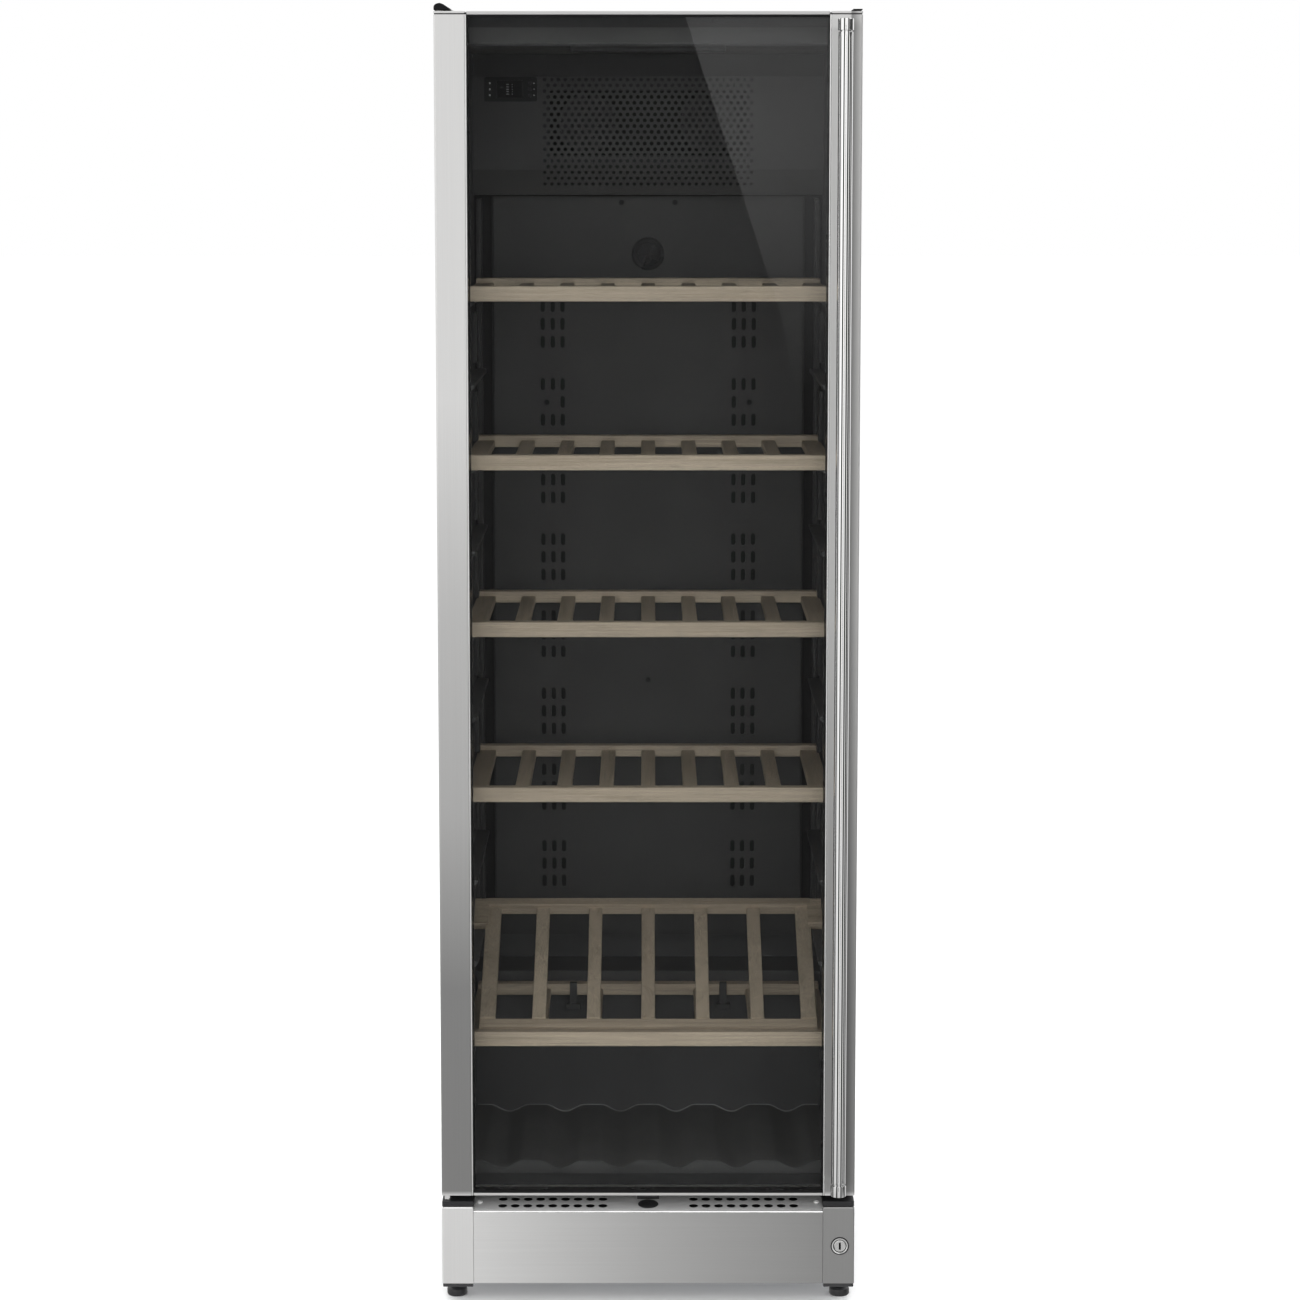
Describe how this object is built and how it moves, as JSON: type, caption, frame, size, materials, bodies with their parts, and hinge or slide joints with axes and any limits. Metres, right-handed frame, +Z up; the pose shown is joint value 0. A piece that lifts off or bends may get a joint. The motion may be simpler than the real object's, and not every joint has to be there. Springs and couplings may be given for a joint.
{
  "type": "wine cooler",
  "caption": "Tall free-standing wine cabinet with a steel-framed tinted glass door, full-height bar handle, wooden shelves, display rack, bottle cradle and lockable plinth.",
  "frame": {"origin": "on the floor under the middle of the cabinet's outer box", "axes": "+X to the right seen from the front, +Y to the back, +Z up; the door faces -Y"},
  "size_m": [0.595, 0.643, 1.86],
  "materials": {
    "brushed_steel": "vertical or lengthwise brushing",
    "casing_paint": "satin silver-grey paint",
    "polished_steel": "polished",
    "bare_steel": "plain",
    "galvanised": "spangled zinc",
    "fin_aluminium": "mill",
    "foam": "cellular",
    "liner_plastic": "fine texture",
    "black_plastic": "moulded",
    "display_plastic": "gloss",
    "black_paint": "satin",
    "gasket_rubber": "matt",
    "tinted_glass": "tinted",
    "beech": "oiled"
  },
  "bodies": {
    "cabinet": {"kick_panel": "brushed_steel", "plinth_column_left": "brushed_steel", "plinth_column_right": "brushed_steel", "outer_casing": "casing_paint", "lower_hinge_pin": "polished_steel", "upper_hinge_bracket": "bare_steel", "rear_panel": "galvanised", "floor_pan": "galvanised", "base_frame": "galvanised", "wall_spacer": "galvanised", "evaporator_coil": "fin_aluminium", "foam_insulation": "foam", "inner_liner": "liner_plastic", "duct_panel": "liner_plastic", "evaporator_cover": "liner_plastic", "fan_grille": "liner_plastic", "bottle_cradle": "black_plastic", "fan_carrier": "black_plastic", "controller_housing": "black_plastic", "evaporation_tray": "black_plastic", "mains_inlet": "black_plastic", "hinge_block_left": "black_plastic", "hinge_block_right": "black_plastic", "hinge_cap": "black_plastic", "blank_plate": "black_plastic", "vent_plug": "black_plastic", "lock_housing": "black_plastic", "controller_display": "display_plastic", "lamp_cover": "display_plastic", "compressor": "black_paint", "condenser_coil": "black_paint"},
    "door": {"door_stile_left": "brushed_steel", "door_stile_right": "brushed_steel", "door_top_rail": "brushed_steel", "door_bottom_rail": "brushed_steel", "outer_glass": "tinted_glass", "inner_glass": "tinted_glass", "glass_spacer": "black_plastic", "door_gasket": "gasket_rubber", "handle_bar": "polished_steel", "handle_post_top": "polished_steel", "handle_post_bottom": "polished_steel"},
    "fan_rotor_left": {"fan_rotor_left": "black_plastic"},
    "fan_rotor_right": {"fan_rotor_right": "black_plastic"},
    "air_filter": {"air_filter": "black_plastic"},
    "controller_key_1": {"controller_key_1": "black_plastic"},
    "controller_key_2": {"controller_key_2": "black_plastic"},
    "controller_key_3": {"controller_key_3": "black_plastic"},
    "lock_cylinder": {"lock_cylinder": "polished_steel"},
    "lock_bolt": {"lock_bolt": "bare_steel"},
    "foot_front_left": {"foot_front_left": "black_plastic"},
    "foot_front_right": {"foot_front_right": "black_plastic"},
    "foot_rear_left": {"foot_rear_left": "black_plastic"},
    "foot_rear_right": {"foot_rear_right": "black_plastic"},
    "shelf_1": {"shelf_1": "beech"},
    "shelf_2": {"shelf_2": "beech"},
    "shelf_3": {"shelf_3": "beech"},
    "shelf_4": {"shelf_4": "beech"},
    "display_shelf": {"display_shelf": "beech"},
    "display_rack": {"display_rack": "beech"}
  },
  "joints": [
    {"name": "door_hinge", "type": "hinge", "parent": "cabinet", "child": "door", "pos_m": [-0.289, -0.2615, 0.1643], "axis": [0, 0, -1], "range_deg": [0, 110]},
    {"name": "fan_left_spin", "type": "hinge", "parent": "cabinet", "child": "fan_rotor_left", "pos_m": [-0.092, 0.2235, 1.7], "axis": [0, 1, 0], "continuous": true},
    {"name": "fan_right_spin", "type": "hinge", "parent": "cabinet", "child": "fan_rotor_right", "pos_m": [0.092, 0.2235, 1.7], "axis": [0, 1, 0], "continuous": true},
    {"name": "filter_twist", "type": "hinge", "parent": "cabinet", "child": "air_filter", "pos_m": [0, 0.2527, 1.502], "axis": [0, -1, 0], "range_deg": [0, 90]},
    {"name": "key_1_press", "type": "slide", "parent": "cabinet", "child": "controller_key_1", "axis": [0, 1, 0], "range_m": [0, 0.0006], "stiffness_N_per_m": 150, "springref_m": -0.0005},
    {"name": "key_2_press", "type": "slide", "parent": "cabinet", "child": "controller_key_2", "axis": [0, 1, 0], "range_m": [0, 0.0006], "stiffness_N_per_m": 150, "springref_m": -0.0005},
    {"name": "key_3_press", "type": "slide", "parent": "cabinet", "child": "controller_key_3", "axis": [0, 1, 0], "range_m": [0, 0.0006], "stiffness_N_per_m": 150, "springref_m": -0.0005},
    {"name": "lock_turn", "type": "hinge", "parent": "cabinet", "child": "lock_cylinder", "pos_m": [0.2766, -0.2735, 0.0897], "axis": [0, 1, 0], "range_deg": [0, 90]},
    {"name": "bolt_lift", "type": "slide", "parent": "cabinet", "child": "lock_bolt", "axis": [0, 0, 1], "range_m": [0, 0.0181]},
    {"name": "foot_front_left_turn", "type": "hinge", "parent": "cabinet", "child": "foot_front_left", "pos_m": [-0.279, -0.2135, 0], "axis": [0, 0, 1], "continuous": true},
    {"name": "foot_front_right_turn", "type": "hinge", "parent": "cabinet", "child": "foot_front_right", "pos_m": [0.279, -0.2135, 0], "axis": [0, 0, 1], "continuous": true},
    {"name": "foot_rear_left_turn", "type": "hinge", "parent": "cabinet", "child": "foot_rear_left", "pos_m": [-0.279, 0.2665, 0], "axis": [0, 0, 1], "continuous": true},
    {"name": "foot_rear_right_turn", "type": "hinge", "parent": "cabinet", "child": "foot_rear_right", "pos_m": [0.279, 0.2665, 0], "axis": [0, 0, 1], "continuous": true},
    {"name": "shelf_1_slide", "type": "slide", "parent": "cabinet", "child": "shelf_1", "axis": [0, -1, 0], "range_m": [0, 0.02]},
    {"name": "shelf_2_slide", "type": "slide", "parent": "cabinet", "child": "shelf_2", "axis": [0, -1, 0], "range_m": [0, 0.02]},
    {"name": "shelf_3_slide", "type": "slide", "parent": "cabinet", "child": "shelf_3", "axis": [0, -1, 0], "range_m": [0, 0.02]},
    {"name": "shelf_4_slide", "type": "slide", "parent": "cabinet", "child": "shelf_4", "axis": [0, -1, 0], "range_m": [0, 0.02]},
    {"name": "display_shelf_slide", "type": "slide", "parent": "cabinet", "child": "display_shelf", "axis": [0, -1, 0], "range_m": [0, 0.02]},
    {"name": "rack_tip", "type": "hinge", "parent": "display_shelf", "child": "display_rack", "pos_m": [0, -0.1675, 0.3788], "axis": [1, 0, 0], "range_deg": [0, 11]}
  ],
  "couplings": [
    {"joint": "bolt_lift", "follows": "lock_turn", "m_per_rad": 0.0115}
  ]
}
